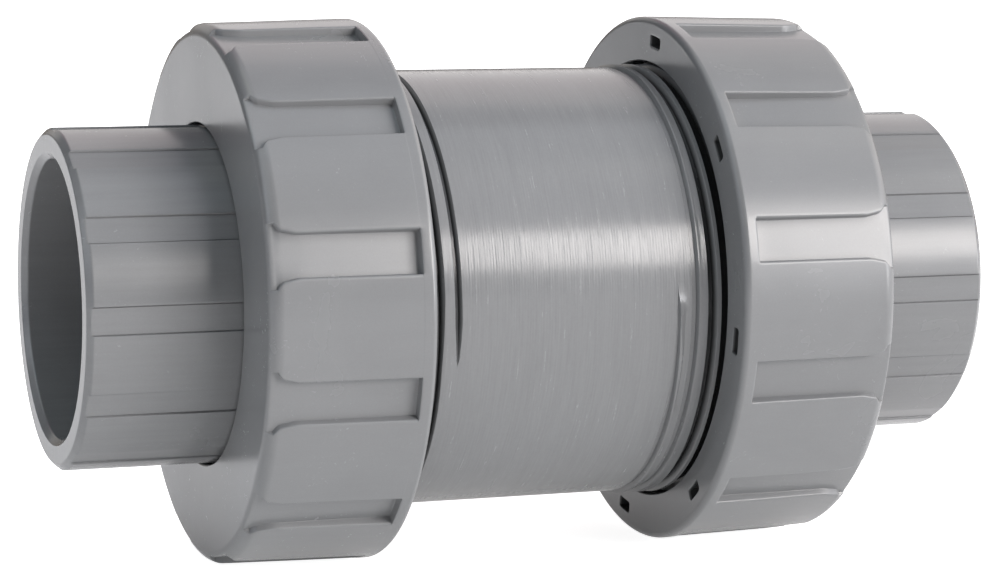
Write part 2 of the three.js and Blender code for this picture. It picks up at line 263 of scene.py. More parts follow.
def outline(corners, step=5.0, support=0.14, closed=True, arc=15.0):
    """Corners (along, radius, rounding) to the points of a rounded outline. A support point beside each
    rounding keeps the flats flat in the shading; corners with rounding None are points that only hold
    the mesh, on a straight or curve."""
    count = len(corners)
    places = [np.array(corner[:2], float) for corner in corners]
    pieces = []
    for i, corner in enumerate(corners):
        rounding = corner[2] if len(corner) > 2 else 0.0
        if not rounding or (not closed and i in (0, count - 1)):
            points = places[i][None]
        else:
            points = rounded(places[i], places[i - 1], places[(i + 1) % count], rounding, arc)
        pieces.append((points, rounding is not None))
    out = []
    for i, (points, supported) in enumerate(pieces):
        out.append(points)
        if not closed and i == count - 1:
            break
        next_points, next_supported = pieces[(i + 1) % count]
        start, end = points[-1], next_points[0]
        length = np.linalg.norm(end - start)
        marks = []
        if length > 3.5 * support:
            if supported:
                marks.append(support)
            if next_supported:
                marks.append(length - support)
        if length > step:
            parts = math.ceil(length / step)
            marks += [length * j / parts for j in range(1, parts)]
        out += [(start + (end - start) * mark / length)[None] for mark in sorted(marks)]
    out = np.concatenate(out)
    return out[:, 0], out[:, 1]


def angles(base, features=()):
    """Columns at most base degrees apart round the axis, with more at (centre, offsets) features."""
    keep = []
    for mark in sorted((centre + offset) % 360 for centre, offsets in features for offset in offsets):
        if not keep or mark - keep[-1] > 0.02:
            keep.append(mark)
    keep = keep or [0.0]
    out = []
    for start, end in zip(keep, keep[1:] + [keep[0] + 360]):
        parts = max(1, math.ceil((end - start) / base - 1e-6))
        out += [start + (end - start) * j / parts for j in range(parts)]
    return np.array(sorted(x % 360 for x in out))


def repeated(pattern, stations, degrees_per_mm):
    """Features for angles(): columns at the stations to both sides of each copy in the pattern."""
    offsets = [x * degrees_per_mm for x in [-x for x in stations if x] + list(stations)]
    return [(pattern.phase + 360 / pattern.count * k, offsets) for k in range(pattern.count)]


def from_nearest(angle, pattern):
    """Degrees from the nearest copy in the pattern."""
    half = 180 / pattern.count
    return (angle - pattern.phase + half) % (2 * half) - half


def profile(x, table, start=0.0):
    """Reads a table of (station, value), with its stations counted from start."""
    stations, values = zip(*table)
    return np.interp(x, [start + station for station in stations], values)


def ease(x, x0, x1):
    t = np.clip((x - x0) / (x1 - x0), 0, 1)
    return t * t * (3 - 2 * t)


def lerp(x, x0, x1, y0, y1):
    return y0 + (y1 - y0) * np.clip((x - x0) / (x1 - x0), 0, 1)


def cylinder_noise(along, angle, seed, wave_length, wave_angle):
    """Smooth seeded waviness over a turned surface, about -1 to 1, that closes on itself round the axis."""
    count = 9
    rng = np.random.default_rng(seed)
    out = 0
    for _ in range(count):
        waves = rng.integers(1, max(2, int(360 / wave_angle)) + 1)
        out = out + np.sin(np.radians(waves * angle) + rng.uniform(0, 6.28)
                           + along * 2 * math.pi / (wave_length * rng.uniform(0.7, 2.2)))
    return out / math.sqrt(count)


# ------------------------------------------------------------------ threads
def drift(start, turns):
    first, second, third = start.drift
    return np.interp(turns, [0.85, 1.1, 2.1, 2.9, 3.1, 4.3], [first, second, second, third, third, 0.0])


def no_drift(start, turns):
    return 0.0


def lines_across(places, turns):
    """Mesh lines in order across one pitch, as lines by columns."""
    return np.sort(np.array([np.broadcast_to(x, np.shape(turns)) for x in places]), axis=0)


def turn_fraction(start, angle):
    """Degrees round from the start of the thread, 0 to 360."""
    return (start.turn * (angle - start.th0)) % 360


def thread_rows(shell, start, angle, low, high, offsets, surface, drift=no_drift):
    """A threaded surface between the rings low and high from the middle, whose mesh lines follow the
    thread. offsets(turns) gives the lines' places across one pitch, from the middle of the groove;
    surface(u, turns, across) gives the radius at distance u from the middle, that many turns on and
    that far across the groove."""
    round_by = turn_fraction(start, angle)
    order = np.argsort(round_by, kind="stable")
    round_by, columns = round_by[order], angle[order]
    first = math.floor((low - start.u0) / PITCH) - 1
    last = math.ceil((high - start.u0) / PITCH) + 1
    distances, radii = [], []
    for k in range(first, last + 1):
        turns = k + round_by / 360
        middle = start.u0 + PITCH * turns + drift(start, turns)
        lines = offsets(turns)
        for line in lines:
            # places beyond the two rings fold on to them, and are read as part of the nearest turn there
            u = np.clip(middle + line, low, high)
            across = u - middle
            skip = np.round(across / PITCH)
            radii.append(surface(u, turns + skip, across - skip * PITCH))
            distances.append(u)
    shell.grid(start.side * np.array(distances), np.array(radii), columns, shift=len(lines))


def thread_ring(start, angle, u, surface):
    """The radius of the threaded surface on the ring at u, so that the next patch meets it."""
    round_by = turn_fraction(start, angle)
    across = u - (start.u0 + PITCH * round_by / 360)
    skip = np.round(across / PITCH)
    return surface(u, round_by / 360 + skip, across - skip * PITCH)


# ------------------------------------------------------------------ valve body
BODY_CHAMFER = 1.4                   # at the crest, on each end
FACE_EDGE_R, COUNTERBORE_R, CHAMBER_R = 46.9, 38.2, 36.5
PLAIN_MARGIN = 1.2                   # plain body kept in the threaded patch before the first groove


def body_root(turns, start):
    deep = np.clip(turns / start.taper, 0, 1) ** start.power
    return np.where(turns < start.taper, BODY_R + (start.shallow - BODY_R) * deep,
                    lerp(turns, 1.5, 2.2, start.shallow, ROOT_R))


def body_half(turns, start):
    # the first turn is cut a little wider where it has the plain body on one side of it
    more = start.full * np.interp(turns, [0.3, 0.6, 0.965, 1.0], [0, 1, 1, 0])
    broad = np.clip(turns / start.taper, 0, 1) ** start.power
    return np.where(turns < start.taper, start.half * broad,
                    lerp(turns, 1.6, 2.2, start.half, ROOT_HALF)) + more


def body_open(turns, start):
    return start.wide * np.interp(turns, [2.35, 2.85, 3.3, 3.8], [0, 1, 1, 0])


def land(turns, past, start):
    """Radius of the land past mm beyond the groove: the plain body before the thread begins, then a
    raised lip along the first groove, then the whole land raised."""
    rise = np.clip(turns / start.rise, 0, 1) ** 1.1
    over = 1 + start.bump * np.exp(-((turns / start.rise - 1.15) / 0.9) ** 2)
    lip = 1 - start.lip * ease(past, 1.27, 1.50) * (1 - ease(turns, 0.7, 1.05))
    return BODY_R + (CREST_R - BODY_R) * rise * over * lip


def body_surface(start):
    def surface(u, turns, across):
        before = across < 0
        top = np.where(before, land(turns - 1, PITCH + across, start), land(turns, across, start))
        half = body_half(turns, start) + np.where(before, body_open(turns, start), 0)
        groove = body_root(turns, start) + np.maximum(0, np.abs(across) - half) / TAN_FLANK
        radius = np.where(turns > 0, np.minimum(top, groove), top)
        return np.minimum(radius, CREST_R - BODY_CHAMFER + (BODY_HALF - u))
    return surface


def body_offsets(start):
    def offsets(turns):
        root, half = body_root(turns, start), body_half(turns, start)
        live = np.clip(turns / start.live, 0.0, 1)
        left = live * (half + (land(turns - 1, PITCH - 0.8, start) - root) * TAN_FLANK)
        right = live * (half + (land(turns, 0.8, start) - root) * TAN_FLANK)
        half, edge, more = live * half, 0.05 * live, body_open(turns, start)
        return lines_across([
            -PITCH / 2,
            -(left + more + edge * 2.6) - edge * 6.4 * np.clip(1 - more / 0.4, 0, 1),
            -(left + more + edge * 2.6), -(left + more + edge), -(left + more - 0.04 * live),
            -(half + more + 0.10 * live), -half - more, -half * 0.6, 0.0, half * 0.6, half,
            half + 0.10 * live, right - 0.04 * live, right + edge, right + edge * 2.6,
            right + edge * 9, right + edge * 13], turns)
    return offsets


def make_body():
    angle = angles(1.75, [(start.th0, [start.turn * (0.9 * k - 0.5) for k in range(9)])
                          for start in (OUTLET, INLET)])
    shell = Shell()
    plain_ends = []
    for start in (OUTLET, INLET):
        low = start.u0 + start.drift[0] - PLAIN_MARGIN
        thread_rows(shell, start, angle, low, BODY_HALF, body_offsets(start), body_surface(start), drift)
        plain_ends.append(start.side * low)
    outlet_end, inlet_end = plain_ends
    shell.grid(np.linspace(inlet_end, outlet_end, 16)[:, None], BODY_R, angle)
    # inside, from each end: face, seal groove, counterbore, ball chamber
    groove_floor = BODY_HALF - FACE_GROOVE.depth
    for start in (OUTLET, INLET):
        ring = thread_ring(start, angle, BODY_HALF, body_surface(start))
        along, radius = outline([
            (BODY_HALF, FACE_EDGE_R), (BODY_HALF, FACE_GROOVE.outer, 0.2),
            (groove_floor, FACE_GROOVE.outer, 0.35), (groove_floor, FACE_GROOVE.inner, 0.35),
            (BODY_HALF, FACE_GROOVE.inner, 0.2), (BODY_HALF, COUNTERBORE_R, 0.4),
            (start.shoulder, COUNTERBORE_R, 0.3), (start.shoulder, CHAMBER_R, 0.25),
            (start.chamber, CHAMBER_R)], closed=False, step=6.0)
        along = np.concatenate([[BODY_HALF], along])
        radius = np.concatenate([ring[None, :],
                                 np.broadcast_to(radius[:, None], (len(radius), len(angle)))])
        shell.grid(start.side * along[:, None], radius, angle)
    shell.grid(np.linspace(-INLET.chamber, OUTLET.chamber, 9)[:, None], CHAMBER_R, angle)
    return shell.build("body_shell", sharp=24)


# ------------------------------------------------------------------ end connectors
FLANGE_IN, FLANGE_OUT, FLANGE_R, BARREL_R, END_FACE = 57.3, 63.5, 45.0, 37.0, 102.57
SOCKET_MOUTH_R, SOCKET_BOTTOM_R, SOCKET_BOTTOM, WATERWAY_R = 30.3, 30.15, 64.47, 24.6
# flats along the barrel; floor is their distance from the axis
FLUTE = Group(count=12, phase=-1.6, floor=36.5, start=69.3)
# (mm from the middle of a flute, share of its depth), with a fine deeper line along each edge
FLUTE_ACROSS = ((0, 1), (1.2, 1), (2.4, 1), (2.8, 1.0), (2.93, 1.42), (2.98, 1.34), (3.05, 0.25),
                (3.1, 0.06), (3.22, 0), (3.6, 0))
# (mm from the start of a flute, share of its depth)
FLUTE_ALONG = ((-0.5, 0), (-0.1, 0), (0, 0.1), (0.12, 0.95), (0.5, 1.0))


def make_connector(name, side, seed):
    degrees_per_mm = math.degrees(1 / BARREL_R)
    angle = angles(2.2, repeated(FLUTE, [x for x, share in FLUTE_ACROSS], degrees_per_mm))
    flute_start = [(FLUTE.start + x, BARREL_R, None) for x, share in FLUTE_ALONG]
    barrel = [(x, BARREL_R, None) for x in (74, 80, 86, 92, 98)]
    along, radius = outline([
        (FLANGE_IN, WATERWAY_R, 0.4), (FLANGE_IN, FLANGE_R, 0.9), (FLANGE_OUT, FLANGE_R, 0.4),
        (FLANGE_OUT, BARREL_R, 0.8)] + flute_start + barrel + [
        (END_FACE - 1.6, BARREL_R, None), (END_FACE - 0.7, BARREL_R, 0.6), (END_FACE - 0.19, 36.45, None),
        (END_FACE + 0.6, 35.6, 0.5), (END_FACE + 0.6, 31.7, 0.4), (END_FACE - 0.6, SOCKET_MOUTH_R, 0.6),
        (SOCKET_BOTTOM, SOCKET_BOTTOM_R, 0.6), (SOCKET_BOTTOM, WATERWAY_R, 0.8)], step=6.0, arc=12.0)
    along, radius = along[:, None], radius[:, None]
    off = from_nearest(angle, FLUTE)
    floor = FLUTE.floor / np.cos(np.radians(off))
    share = profile(np.abs(off) / degrees_per_mm, FLUTE_ACROSS) * profile(along, FLUTE_ALONG, FLUTE.start)
    outer = (along > FLANGE_OUT + 1.5) & (radius > 34.0)
    # at the end face the flute runs out through the rounding, so the rim dips with it
    cut = np.where(radius > floor, radius - floor, 0) * share
    radius = np.where(outer, radius - cut, radius)
    # the barrel is slightly uneven, as a moulding is
    wave = cylinder_noise(along, angle[None, :], seed, wave_length=26.0, wave_angle=70.0)
    radius = np.where(outer & (along < END_FACE - 2.0), radius + 0.02 * wave, radius)
    shell = Shell()
    shell.grid(side * along, radius, angle, wrap_rows=True)
    return shell.build(name, sharp=30)


# ------------------------------------------------------------------ union nuts
NUT_MOUTH, NUT_BACK, NUT_R_MOUTH, NUT_R_BACK = 34.5, 70.36, 59.91, 59.15
NUT_LIP_IN, NUT_HOLE_R, NUT_RELIEF_R, NUT_ROOT_R, NUT_TIP_R = 63.8, 37.5, 49.85, 49.6, 47.65
NUT_THREAD_IN, NUT_THREAD_OUT = 38.0, 56.9
NUT_PLAY = 0.3                       # how much narrower each half of the nut's tooth is than the groove
# mouth is where each nut's open face lies, groove where its grip grooves begin, nose the mouth's rounding
INLET_NUT = Group(thread=INLET, seed=21, mouth=34.95, groove=38.05, nose=2.4)
OUTLET_NUT = Group(thread=OUTLET, seed=22, mouth=34.05, groove=37.5, nose=3.1)
# flat grip grooves; corner rounds the lands between them at the back end
GRIP = Group(count=12, phase=13.1, floor=57.65, corner=3.7)
# (mm from the middle of a grip groove, share of its depth)
GRIP_ACROSS = ((0, 1), (2.2, 1), (4.40, 1), (4.58, 0.985), (4.63, 0.90), (4.70, 0.24), (4.80, 0.10),
               (4.96, 0.025), (5.15, 0), (5.5, 0), (8.0, 0))
# (mm from the start of a grip groove, share of its depth)
GRIP_ALONG = ((-0.5, 0), (-0.22, 0.012), (-0.10, 0.05), (-0.035, 0.17), (0.035, 0.86), (0.09, 0.955),
              (0.2, 0.99), (0.4, 1))
# blind pockets in the mouth face, at this radius, with half sizes outwards and round the axis
POCKET = Group(count=8, phase=-9.0, radius=54.9, half_out=1.25, half_round=2.85, depth=6.0, corner=0.55)
POCKET_COLUMNS = (0, 1.9, 2.35, 2.65, 2.80, 2.88, 3.02)        # mm from the middle of a pocket
POCKET_ROWS = (0.5, 0.14, 0.04, -0.03, -0.14, -0.34, -0.62)    # mm outside a pocket's long edges


def nut_surface(u, turns, across):
    rise = np.clip((u - 38.35) / 0.9, 0, 1) * np.clip((56.5 - u) / 0.9, 0, 1)
    tip = NUT_ROOT_R - (NUT_ROOT_R - NUT_TIP_R) * rise
    flank = ROOT_R + (np.abs(across) - ROOT_HALF + NUT_PLAY) / TAN_FLANK
    return np.minimum(NUT_ROOT_R, np.maximum(tip, flank))


def nut_offsets(turns):
    tip, base = (ROOT_HALF + (radius - ROOT_R) * TAN_FLANK - NUT_PLAY for radius in (NUT_TIP_R, NUT_ROOT_R))
    return lines_across([-PITCH / 2, -base - 0.15, -base, -tip - 0.05, -tip, 0,
                         tip, tip + 0.05, base, base + 0.15], turns)


def nut_outline(nut):
    slope = (NUT_R_BACK - NUT_R_MOUTH) / (NUT_BACK - NUT_MOUTH)
    stations = [nut.groove + x for x, share in GRIP_ALONG] + [41, 45, 49, 53, 57, 60, 62, 63.2, 64.2]
    wall = [(x, NUT_R_MOUTH + slope * (x - NUT_MOUTH), None) for x in stations[::-1]]
    rows = [POCKET.half_out + x for x in POCKET_ROWS]
    face = [(nut.mouth, POCKET.radius + x, None) for x in rows + [0] + [-x for x in rows[::-1]]]
    return outline([
        (NUT_THREAD_OUT, NUT_ROOT_R), (NUT_LIP_IN, NUT_ROOT_R, 0.8), (NUT_LIP_IN, NUT_HOLE_R, 0.35),
        (NUT_BACK, NUT_HOLE_R, 0.5), (NUT_BACK, NUT_R_BACK, 5.7)] + wall + [
        (nut.mouth, NUT_R_MOUTH, nut.nose)] + face + [
        (nut.mouth, NUT_RELIEF_R, 0.35), (36.7, NUT_RELIEF_R, 0.2), (37.7, NUT_ROOT_R, 0.2),
        (NUT_THREAD_IN, NUT_ROOT_R)], closed=False, step=5.0, arc=6.0)


def pocket_sink(radius, angle, degrees_per_mm):
    """How deep the pockets sink the mouth face: a rounded rectangle with steep walls."""
    off = from_nearest(angle, POCKET) / degrees_per_mm
    x = np.abs(off)[None, :] - (POCKET.half_round - POCKET.corner)
    y = np.abs(radius - POCKET.radius) - (POCKET.half_out - POCKET.corner)
    outside = (np.minimum(np.maximum(x, y), 0) + np.hypot(np.maximum(x, 0), np.maximum(y, 0))
               - POCKET.corner)
    return np.interp(-outside, [-0.1, -0.035, 0.03, 0.12], [0.0, 0.012, 0.97, 1.0]) * POCKET.depth


def make_nut(name, nut):
    grip_degrees = math.degrees(1 / NUT_R_MOUTH)
    pocket_degrees = math.degrees(1 / POCKET.radius)
    angle = angles(2.4, repeated(GRIP, [x for x, share in GRIP_ACROSS], grip_degrees)
                   + repeated(POCKET, POCKET_COLUMNS, pocket_degrees))
    along, plain = (x[:, None] for x in nut_outline(nut))
    outside = (plain > 53.5) & (along > 36.5)
    off = from_nearest(angle, GRIP)
    lateral = off / grip_degrees
    # the grooves flare over the rounded corners of the lands
    back = np.clip(along - 65.2, 0, GRIP.corner * 0.93)
    flare = GRIP.corner - np.sqrt(GRIP.corner ** 2 - back ** 2)
    reach = np.interp(np.abs(lateral), [0, 4.0, 5.2, 8.5], [0, 1, 1, 0])
    move = np.where(outside, flare, 0) * (reach * np.sign(lateral))[None, :]
    # where the groove meets the rounding it fades out softly instead of ending on a line
    gap = plain - GRIP.floor / np.cos(np.radians(off))
    soft = 0.45 * ease(along, 61.0, 66.0)
    cut = 0.5 * (gap + np.sqrt(gap ** 2 + soft ** 2))
    cut = cut * profile(np.abs(lateral), GRIP_ACROSS) * profile(along, GRIP_ALONG, nut.groove)
    radius = np.where(outside, plain - cut, plain)
    wave = cylinder_noise(along, angle[None, :], nut.seed, wave_length=30.0, wave_angle=60.0)
    radius = np.where(outside & (along > 38) & (along < 66), radius + 0.02 * wave, radius)
    sunk = along + pocket_sink(plain, angle, pocket_degrees)
    along = np.where(np.abs(along - nut.mouth) < 1e-6, sunk, along)
    shell = Shell()
    shell.grid(nut.thread.side * along, radius, angle[None, :] + move * grip_degrees)
    thread_rows(shell, nut.thread, angle, NUT_THREAD_IN, NUT_THREAD_OUT, nut_offsets, nut_surface)
    return shell.build(name, sharp=34)


# ------------------------------------------------------------------ internals
FACE_SEAL = Group(along=55.6, radius=(FACE_GROOVE.inner + FACE_GROOVE.outer) / 2,
                  section=FACE_GROOVE.depth / 2)
SEAL_FLASH = 0.06

# closed outlines of the turned parts, as (along, radius, rounding)
CARRIER = [
    (-56.9, 25.0, 0.9), (-56.9, 38.0, 0.6), (-47.5, 38.0, 0.25), (-47.5, 34.85, 0.4),
    (-43.3, 34.85, 0.4), (-43.3, 38.0, 0.25), (-34.1, 38.0, 0.35), (-34.1, 34.0, 0.3),
    (-27.2, 33.3, 0.5), (-27.2, 29.2, 0.2), (-28.3, 29.2, 0.1), (-28.3, 30.1, 0.1),
    (-31.6, 30.1, 0.1), (-31.6, 23.9, 0.4), (-36.5, 23.9, 3.0), (-50.0, 24.35, 0)]
SEAT = [
    (-31.5, 23.75, 0.3), (-31.5, 30.0, 0.1), (-28.4, 30.0, 0.1), (-28.4, 29.1, 0.1),
    (-27.5, 29.1, 0.25), (-27.5, 25.95, 0.3), (-28.1, 25.38, None), (-29.1, 24.92, None)]
CAGE_RING = [
    (40.0, 31.4, 0.6), (40.0, 36.2, 0.8), (50.1, 36.2, 0.2), (50.1, 38.0, 0.3), (56.9, 38.0, 0.6),
    (56.9, 31.4, 0.8)]
RIB = Group(count=4, first=45, half_thick=2.5, bevel=0.45, guide=BALL_R + 0.4, stop=11.0)

# rows and columns of the ball's mesh, its smooth radius, and the raised line round its middle
BALL = Group(rows=96, columns=144, radius=BALL_R - 0.05, line=0.05, line_width=0.9)


def make_seal(name, along, radius, section):
    """An O-ring with the faint flash line its mould leaves on the inner and outer edge."""
    turn = np.array(sorted(list(range(0, 360, 12)) + [81, 84, 87, 93, 264, 267, 273, 276]))
    flash = sum(np.exp(-(((turn - edge + 180) % 360 - 180) / 3.5) ** 2) for edge in (90.0, -90.0))
    size = section + SEAL_FLASH * flash
    shell = Shell()
    shell.grid((along + size * np.cos(np.radians(turn)))[:, None],
               (radius + size * np.sin(np.radians(turn)))[:, None], angles(3.0), wrap_rows=True)
    return shell.build(name, sharp=60)


def make_turned(name, corners, base=2.5, step=5.0, sharp=34):
    along, radius = outline(corners, step=step)
    shell = Shell()
    shell.grid(along[:, None], radius[:, None], angles(base), wrap_rows=True)
    return shell.build(name, sharp=sharp)


def make_ball():
    """A ball round to a few hundredths, with a witness line at its mould parting."""
    polar = np.pi * np.arange(1, BALL.rows) / BALL.rows
    angle = np.arange(BALL.columns) * 360.0 / BALL.columns
    latitude = np.abs(np.degrees(polar) - 90)
    line = BALL.line * np.exp(-(latitude / BALL.line_width) ** 2)
    wave = cylinder_noise(polar[:, None] * 27, angle[None, :], 5, wave_length=20, wave_angle=60)
    size = (BALL.radius + line)[:, None] + 0.012 * wave * np.sin(polar)[:, None]
    along = BALL_CLOSED - size * np.cos(polar)[:, None]
    radius = size * np.sin(polar)[:, None]
    shell = Shell()
    shell.grid(along, radius, angle)
    fan = [[0, 1 + j, 1 + (j + 1) % BALL.columns] for j in range(BALL.columns)]
    for row, end in ((0, -1), (-1, 1)):
        tip = np.array([[BALL_CLOSED + end * BALL.radius, 0, 0]])
        shell.add(np.concatenate([tip, place(along[row], radius[row], angle)]), fan)
    return shell.build("ball_solid", sharp=60)


def rib_outline():
    """Guides the ball along its travel, then curves in round the open ball to the stop."""
    open_at = BALL_CLOSED + BALL_TRAVEL
    sweep = math.acos(RIB.stop / RIB.guide)
    curve = [(open_at + RIB.guide * math.sin(sweep * i / 14), RIB.guide * math.cos(sweep * i / 14), None)
             for i in range(1, 15)]
    along, radius = outline(
        [(-12, 36.2, 0.6), (-12, 30.0, 0.6), (-8, RIB.guide, 1.0), (open_at, RIB.guide, None)] + curve
        + [(33.0, RIB.stop, 0.6), (36.0, 14.5, 1.5), (41.5, 31.9, 1.2), (48.6, 31.9, None),
           (48.6, 35.2, None), (40.35, 35.2, None), (40.35, 36.2, None)], step=8.0, support=0.0)
    return [(along[i], radius[i]) for i in range(len(along))
            if math.hypot(along[i] - along[i - 1], radius[i] - radius[i - 1]) > 0.02]


def rib_mesh(angle):
    points = rib_outline()
    bm = bmesh.new()
    lower, upper = ([bm.verts.new((x * MM, y * MM, z * MM)) for x, y in points]
                    for z in (-RIB.half_thick, RIB.half_thick))
    bm.faces.new(lower[::-1])
    bm.faces.new(upper)
    for i in range(len(points)):
        j = (i + 1) % len(points)
        bm.faces.new((lower[i], lower[j], upper[j], upper[i]))
    bmesh.ops.recalc_face_normals(bm, faces=bm.faces)
    bm.edges.ensure_lookup_table()
    rims = [edge for edge in bm.edges if abs(edge.verts[0].co.z - edge.verts[1].co.z) < 1e-9]
    bmesh.ops.bevel(bm, geom=rims, offset=RIB.bevel * MM, segments=3, profile=0.5, affect="EDGES",
                    clamp_overlap=True)
    bmesh.ops.transform(bm, matrix=Matrix.Rotation(math.radians(angle), 4, "X"), verts=bm.verts)
    mesh = bpy.data.meshes.new("rib")
    bm.to_mesh(mesh)
    bm.free()
    return mesh


def make_cage():
    """A ring with its ribs joined to it."""
    ring = make_turned("ball_cage", CAGE_RING, base=3.0)
    ribs = []
    for k in range(RIB.count):
        rib = add_object("rib", rib_mesh(RIB.first + 90 * k))
        ribs.append(rib)
        join = ring.modifiers.new("join", "BOOLEAN")
        join.operation, join.object, join.solver = "UNION", rib, "EXACT"
    bpy.context.view_layer.update()
    graph = bpy.context.evaluated_depsgraph_get()
    mesh = bpy.data.meshes.new_from_object(ring.evaluated_get(graph))
    ring.modifiers.clear()
    for rib in ribs:
        bpy.data.objects.remove(rib)
    ring.data = mesh
    shade_smooth(mesh, 30)
    return ring


# ------------------------------------------------------------------ shader nodes
class Nodes:
    """Builds the node tree of a material or world."""

    def __init__(self, owner):
        owner.use_nodes = True
        self.owner, self.tree, self.column = owner, owner.node_tree, -1400
        self.tree.nodes.clear()

    def new(self, kind, **settings):
        node = self.tree.nodes.new(kind)
        for key, value in settings.items():
            setattr(node, key, value)
        node.location = (self.column, 0)
        self.column += 20
        return node

    def put(self, socket, value):
        if isinstance(value, bpy.types.NodeSocket):
            self.tree.links.new(value, socket)
        else:
            socket.default_value = value

    def math(self, operation, *values):
        node = self.new("ShaderNodeMath", operation=operation)
        for socket, value in zip(node.inputs, values):
            self.put(socket, value)
        return node.outputs[0]

    def times(self, a, b):
        return self.math("MULTIPLY", a, b)

    def vary(self, value, amount):
        """Turns a value about 0.5 into a factor about 1."""
        return self.math("MULTIPLY_ADD", value, amount, 1 - amount * 0.5)

    def ramp(self, value, start, end, low=0.0, high=1.0, smooth=False):
        node = self.new("ShaderNodeMapRange", interpolation_type="SMOOTHSTEP" if smooth else "LINEAR")
        self.put(node.inputs["Value"], value)
        for key, x in (("From Min", start), ("From Max", end), ("To Min", low), ("To Max", high)):
            node.inputs[key].default_value = x
        return node.outputs["Result"]

    def scaled(self, vector, factor):
        node = self.new("ShaderNodeVectorMath", operation="SCALE")
        self.put(node.inputs[0], vector)
        self.put(node.inputs["Scale"], factor)
        return node.outputs[0]

    def split(self, vector):
        node = self.new("ShaderNodeSeparateXYZ")
        self.put(node.inputs[0], vector)
        return node.outputs

    def point(self):
        """Place on the object in mm."""
        return self.scaled(self.new("ShaderNodeTexCoord").outputs["Object"], 1000.0)

    def radius(self, y, z):
        return self.math("SQRT", self.math("ADD", self.times(y, y), self.times(z, z)))

    def angle(self, y, z):
        """Angle round the axis, in radians."""
        return self.math("ARCTAN2", z, self.times(y, -1.0))

    def circle(self, y, z):
        angle = self.angle(y, z)
        return self.math("COSINE", angle), self.math("SINE", angle)

    def vector(self, x, y, z):
        node = self.new("ShaderNodeCombineXYZ")
        for socket, value in zip(node.inputs, (x, y, z)):
            self.put(socket, value)
        return node.outputs[0]

    def round_vector(self, along, circle, stretch):
        """Noise place that closes on itself round the axis."""
        return self.vector(along, self.times(circle[0], stretch), self.times(circle[1], stretch))

    def noise(self, vector, scale=1.0, detail=2.0, rough=0.5, distortion=0.0, dimensions="3D"):
        node = self.new("ShaderNodeTexNoise", noise_dimensions=dimensions)
        self.put(node.inputs["Vector"], vector)
        for key, x in (("Scale", scale), ("Detail", detail), ("Roughness", rough),
                       ("Distortion", distortion)):
            node.inputs[key].default_value = x
        return node.outputs[0]

    def mix(self, factor, a, b):
        node = self.new("ShaderNodeMix", data_type="RGBA", blend_type="MIX")
        for index, value in ((0, factor), (6, a), (7, b)):
            self.put(node.inputs[index], value)
        return node.outputs[2]

    def bump(self, height, distance):
        """distance is in mm."""
        node = self.new("ShaderNodeBump")
        node.inputs["Strength"].default_value = 1.0
        node.inputs["Distance"].default_value = distance * MM
        self.put(node.inputs["Height"], height)
        return node.outputs[0]

    def surface(self, **inputs):
        """Finishes the material with a Principled shader; input names have _ for a space."""
        shader = self.new("ShaderNodeBsdfPrincipled")
        for key, value in inputs.items():
            self.put(shader.inputs[key.replace("_", " ")], value)
        output = self.new("ShaderNodeOutputMaterial")
        self.put(output.inputs["Surface"], shader.outputs[0])
        return self.owner


def new_material(name):
    return Nodes(bpy.data.materials.new(name))


def grey(value):
    """A slightly blue grey."""
    return (value * 0.985, value * 1.0, value * 1.015)


# ------------------------------------------------------------------ materials
PLASTIC_IOR = 1.54


def painted_groove_shade(n, x, radius, groove_shade):
    """Painted shade: a factor that darkens the bottoms of the thread grooves, where shade falls, and the flanks far
    from the middle, which lie in the shadow of the nuts.
    """
    bottom = n.math("ADD", n.ramp(radius, 47.1, 48.25, low=1 - groove_shade, high=1.0, smooth=True),
                    n.ramp(radius, 46.4, 46.2, low=0.0, high=groove_shade))
    far = n.ramp(n.math("ABSOLUTE", x), 29.2, 30.2)
    dark = n.times(far, n.ramp(radius, 47.6, 48.95, low=0.6, high=0.0))
    flank = n.math("SUBTRACT", 1.0, dark)
    inner = n.ramp(radius, 46.4, 46.2)
    return n.times(bottom, n.math("MAXIMUM", flank, inner))


def turned_plastic(name, value, rough, groove_shade=0.0):
    """Rigid plastic off a lathe: tool lines round the axis, of uneven depth and gloss, with a faint feed
    pattern."""
    n = new_material(name)
    point = n.point()
    x, y, z = n.split(point)
    circle = n.circle(y, z)

    def round_noise(along, stretch, offset, detail, rough):
        place = n.round_vector(n.math("MULTIPLY_ADD", x, along, offset), circle, stretch)
        return n.noise(place, detail=detail, rough=rough)

    fine = round_noise(along=2.3, stretch=3.0, offset=0.0, detail=3.0, rough=0.65)
    band = round_noise(along=0.95, stretch=5.0, offset=31.0, detail=3.0, rough=0.7)
    broad = round_noise(along=0.22, stretch=1.3, offset=70.0, detail=2.0, rough=0.5)
    feed_pitch = 0.62
    feed = n.math("SINE", n.times(x, 2 * math.pi / feed_pitch))
    height = n.math("ADD", fine, n.math("MULTIPLY_ADD", feed, 0.12, n.times(band, 1.6)))
    normal = n.bump(height, distance=0.014)

    cloud = n.noise(point, scale=0.035, detail=3.0, rough=0.55)
    speck = n.noise(point, scale=1.6, detail=2.0, rough=0.6)
    tone = n.times(n.vary(cloud, amount=0.06),
                   n.times(n.vary(fine, amount=0.20), n.vary(speck, amount=0.10)))
    tone = n.times(tone, n.times(n.vary(band, amount=0.16), n.vary(broad, amount=0.10)))
    # painted shade in the body's thread grooves and in the shadow of the nuts
    if groove_shade:
        tone = n.times(tone, painted_groove_shade(n, x, n.radius(y, z), groove_shade))

    blot = n.noise(point, scale=0.35, detail=4.0, rough=0.7)
    gloss = n.times(n.times(n.vary(band, amount=1.6), n.vary(fine, amount=0.9)),
                    n.vary(blot, amount=0.7))
    gloss = n.math("MAXIMUM", n.times(gloss, rough), 0.115)
    gloss = n.math("MINIMUM", gloss, max(0.33, rough * 1.3))
    return n.surface(Base_Color=n.scaled(grey(value), tone), Roughness=gloss, Normal=normal,
                     IOR=PLASTIC_IOR)


